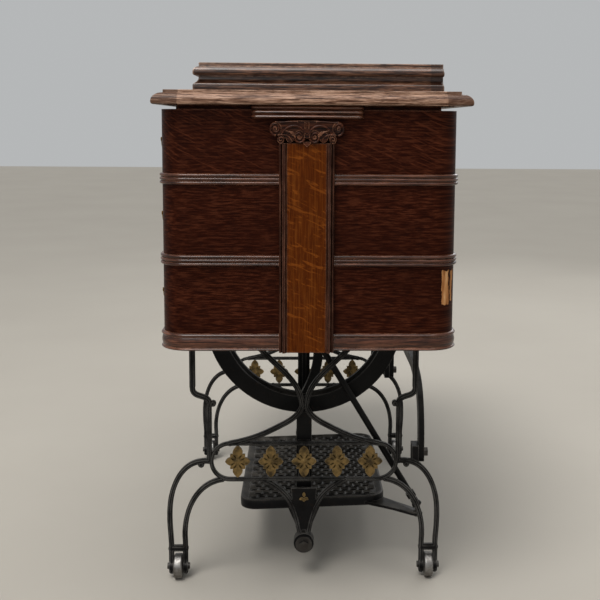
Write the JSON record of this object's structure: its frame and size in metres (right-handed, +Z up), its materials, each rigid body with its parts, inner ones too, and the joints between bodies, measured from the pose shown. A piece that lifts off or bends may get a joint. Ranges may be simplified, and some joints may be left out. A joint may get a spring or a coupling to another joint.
{
  "type": "treadle sewing machine",
  "caption": "Antique treadle sewing machine: oak table with moulded lid and rounded drawer wings on an open cast iron stand with treadle, band wheel and casters.",
  "frame": {"origin": "on the floor, under the centre of the table top", "axes": "+Z up, +X along the table towards the sewer's right hand, -Y towards the sewer"},
  "size_m": [0.892, 0.4425, 0.806],
  "materials": {
    "japanned_iron": "aged gloss black japan, dusty",
    "gilt": "dull worn gilt",
    "case_oak": "dark red-brown quarter-sawn oak, old varnish",
    "moulding_oak": "dark oak, worn along the ridges",
    "pilaster_oak": "bright orange-brown figured oak, old varnish",
    "carved_oak": "carved dark oak, worn on the high points",
    "top_oak": "brown oak, satin, worn edges",
    "drawer_oak": "dark oak, old varnish",
    "pull_brass": "aged brass",
    "hinge_steel": "aged steel",
    "dark_steel": "dark oiled steel",
    "caster_iron": "worn bare iron",
    "nickel": "aged nickel plate",
    "head_enamel": "gloss black enamel",
    "pitman_iron": "black paint, worn"
  },
  "bodies": {
    "stand": {"end_frame_right": "japanned_iron", "end_frame_left": "japanned_iron", "frame_ornaments_right": "gilt", "frame_ornaments_left": "gilt", "treadle_rod": "dark_steel", "center_brace": "japanned_iron", "wheel_stud": "dark_steel", "rear_brace": "japanned_iron", "brace_bolts": "dark_steel", "caster_axles": "dark_steel", "table_top": "top_oak", "lid_hinges": "hinge_steel", "front_apron": "case_oak", "rear_apron": "case_oak", "wing_case_right": "case_oak", "wing_case_left": "case_oak", "wing_mouldings_right": "moulding_oak", "wing_mouldings_left": "moulding_oak", "pilaster_right": "pilaster_oak", "pilaster_left": "pilaster_oak", "capitals": "carved_oak", "cap_blocks": "moulding_oak", "spacer_boards": "case_oak", "wing_clips": "dark_steel", "head_hinges": "hinge_steel"},
    "band_wheel": {"band_wheel": "japanned_iron", "crank_pin": "dark_steel"},
    "treadle": {"treadle_plate": "japanned_iron", "ball_stud": "dark_steel"},
    "pitman": {"pitman_rod": "pitman_iron", "pitman_socket": "japanned_iron", "pitman_bearing": "japanned_iron"},
    "lid": {"lid": "top_oak", "lid_hinge_leaves": "hinge_steel"},
    "front_flap": {"front_flap": "case_oak"},
    "head": {"head_bed": "head_enamel", "head_arm": "head_enamel", "needle_bars": "nickel", "face_plates": "nickel"},
    "handwheel": {"handwheel": "head_enamel"},
    "caster_front_right": {"caster_wheel_front_right": "caster_iron"},
    "caster_back_right": {"caster_wheel_back_right": "caster_iron"},
    "caster_front_left": {"caster_wheel_front_left": "caster_iron"},
    "caster_back_left": {"caster_wheel_back_left": "caster_iron"},
    "drawer_low_right": {"drawer_low_right": "drawer_oak", "pull_low_right": "pull_brass"},
    "drawer_mid_right": {"drawer_mid_right": "drawer_oak", "pull_mid_right": "pull_brass"},
    "drawer_top_right": {"drawer_top_right": "drawer_oak", "pull_top_right": "pull_brass"},
    "drawer_low_left": {"drawer_low_left": "drawer_oak", "pull_low_left": "pull_brass"},
    "drawer_mid_left": {"drawer_mid_left": "drawer_oak", "pull_mid_left": "pull_brass"},
    "drawer_top_left": {"drawer_top_left": "drawer_oak", "pull_top_left": "pull_brass"}
  },
  "joints": [
    {"name": "band_wheel_spin", "type": "hinge", "parent": "stand", "child": "band_wheel", "pos_m": [0.22, -0.01, 0.414], "axis": [1, 0, 0], "continuous": true},
    {"name": "treadle_rock", "type": "hinge", "parent": "stand", "child": "treadle", "pos_m": [0, -0.01, 0.058], "axis": [1, 0, 0], "range_deg": [-15.58, 0]},
    {"name": "pitman_swing", "type": "hinge", "parent": "treadle", "child": "pitman", "pos_m": [0.265, 0.171, 0.1128], "axis": [1, 0, 0], "range_deg": [0, 13.13]},
    {"name": "head_lift", "type": "hinge", "parent": "stand", "child": "head", "pos_m": [0, 0.15, 0.752], "axis": [-1, 0, 0], "range_deg": [0, 90]},
    {"name": "lid_swing", "type": "hinge", "parent": "stand", "child": "lid", "pos_m": [0, 0.2005, 0.7675], "axis": [-1, 0, 0], "range_deg": [0, 95.1]},
    {"name": "flap_swing", "type": "hinge", "parent": "stand", "child": "front_flap", "pos_m": [0, -0.165, 0.742], "axis": [1, 0, 0], "range_deg": [0, 90.1]},
    {"name": "handwheel_spin", "type": "hinge", "parent": "head", "child": "handwheel", "pos_m": [0.178, -0.055, 0.662], "axis": [1, 0, 0], "continuous": true},
    {"name": "caster_front_right_roll", "type": "hinge", "parent": "stand", "child": "caster_front_right", "pos_m": [0.28, -0.208, 0.0195], "axis": [0, 1, 0], "continuous": true},
    {"name": "caster_back_right_roll", "type": "hinge", "parent": "stand", "child": "caster_back_right", "pos_m": [0.28, 0.188, 0.0195], "axis": [0, 1, 0], "continuous": true},
    {"name": "caster_front_left_roll", "type": "hinge", "parent": "stand", "child": "caster_front_left", "pos_m": [-0.28, -0.208, 0.0195], "axis": [0, 1, 0], "continuous": true},
    {"name": "caster_back_left_roll", "type": "hinge", "parent": "stand", "child": "caster_back_left", "pos_m": [-0.28, 0.188, 0.0195], "axis": [0, 1, 0], "continuous": true},
    {"name": "drawer_low_right_slide", "type": "slide", "parent": "stand", "child": "drawer_low_right", "axis": [0, -1, 0], "range_m": [0, 0.3]},
    {"name": "drawer_mid_right_slide", "type": "slide", "parent": "stand", "child": "drawer_mid_right", "axis": [0, -1, 0], "range_m": [0, 0.3]},
    {"name": "drawer_top_right_slide", "type": "slide", "parent": "stand", "child": "drawer_top_right", "axis": [0, -1, 0], "range_m": [0, 0.3]},
    {"name": "drawer_low_left_slide", "type": "slide", "parent": "stand", "child": "drawer_low_left", "axis": [0, -1, 0], "range_m": [0, 0.3]},
    {"name": "drawer_mid_left_slide", "type": "slide", "parent": "stand", "child": "drawer_mid_left", "axis": [0, -1, 0], "range_m": [0, 0.3]},
    {"name": "drawer_top_left_slide", "type": "slide", "parent": "stand", "child": "drawer_top_left", "axis": [0, -1, 0], "range_m": [0, 0.3]}
  ],
  "couplings": [
    {"joint": "pitman_swing", "follows": "treadle_rock", "ratio": -0.8235},
    {"joint": "lid_swing", "follows": "head_lift", "ratio": 1.0556},
    {"joint": "flap_swing", "follows": "head_lift", "ratio": 1}
  ]
}
